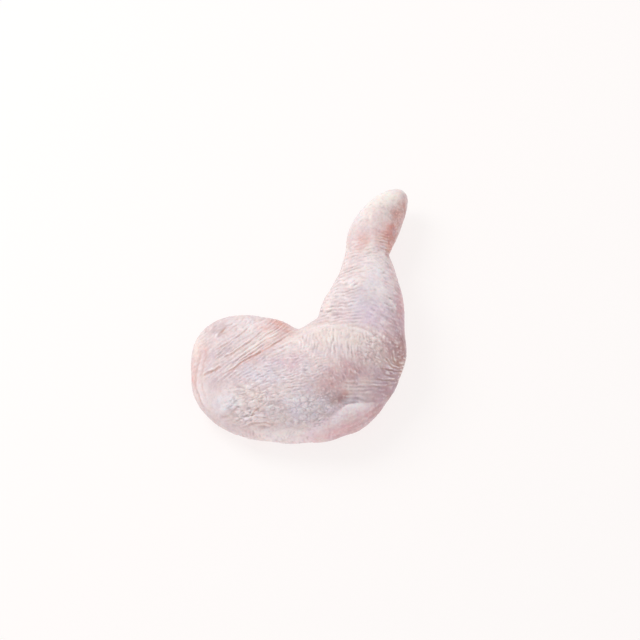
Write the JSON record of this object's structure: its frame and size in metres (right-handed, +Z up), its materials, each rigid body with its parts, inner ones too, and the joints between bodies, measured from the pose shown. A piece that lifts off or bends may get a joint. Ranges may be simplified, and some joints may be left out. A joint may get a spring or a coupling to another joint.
{
  "type": "raw chicken leg",
  "caption": "Raw chicken leg with its skin on: a plump oval thigh and a tapering drumstick in one bent piece, lying skin side up.",
  "frame": {"origin": "centre of the leg's outline seen from above, on the surface that it rests on", "axes": "+Z up, +Y from the thigh towards the tip of the drumstick, +X along the thigh towards the knee"},
  "size_m": [0.1322, 0.178, 0.0437],
  "materials": {
    "raw_skin": "moist raw skin, pale pink with lilac, cream and reddish areas, soft sheen"
  },
  "bodies": {
    "root": {"chicken_leg": "raw_skin"}
  },
  "joints": []
}
